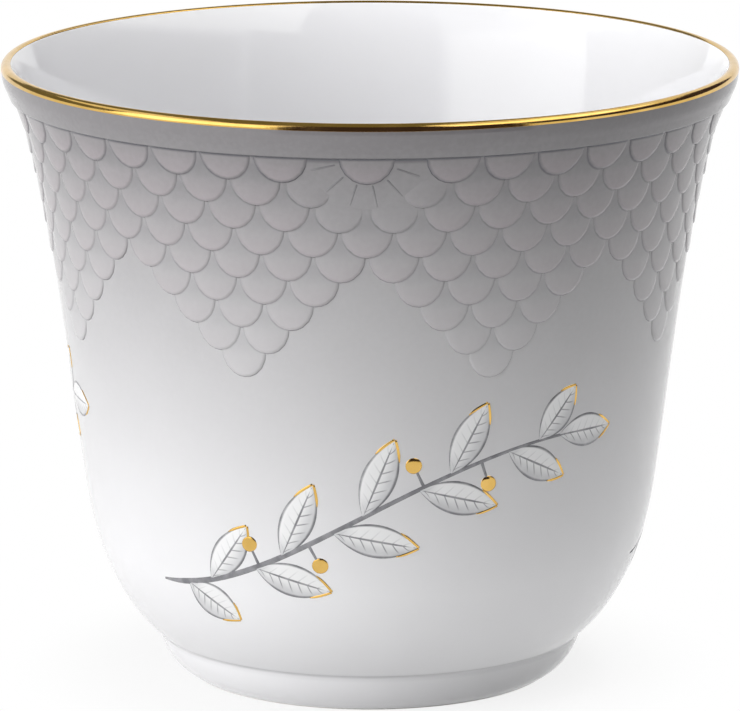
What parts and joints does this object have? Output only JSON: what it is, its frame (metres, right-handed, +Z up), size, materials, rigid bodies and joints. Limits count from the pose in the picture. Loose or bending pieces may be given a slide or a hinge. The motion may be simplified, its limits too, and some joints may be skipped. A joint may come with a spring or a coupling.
{
  "type": "handleless cup",
  "caption": "Handleless porcelain cup with a flared gilded lip, a moulded border of overlapping scales, painted leaf sprigs with gilt berries and a plain foot ring.",
  "frame": {"origin": "centre of the foot ring's standing face", "axes": "+Z up along the cup's axis, -Y towards the front, where the first sprig is painted"},
  "size_m": [0.09, 0.09, 0.0761],
  "materials": {
    "porcelain": "clear glaze over white porcelain, with a soft grey ground under the lip",
    "gilding": "burnished fired gold",
    "grey_enamel": "grey and white painting under a clear glaze"
  },
  "bodies": {
    "root": {"porcelain_body": "porcelain", "gilt_rim_band": "gilding", "painted_foliage_1": "grey_enamel", "gilt_berry_1_1": "gilding", "gilt_berry_1_2": "gilding", "gilt_berry_1_3": "gilding", "gilt_berry_1_4": "gilding", "painted_foliage_2": "grey_enamel", "gilt_berry_2_1": "gilding", "gilt_berry_2_2": "gilding", "gilt_berry_2_3": "gilding", "gilt_berry_2_4": "gilding", "painted_foliage_3": "grey_enamel", "gilt_berry_3_1": "gilding", "gilt_berry_3_2": "gilding", "gilt_berry_3_3": "gilding", "gilt_berry_3_4": "gilding"}
  },
  "joints": []
}
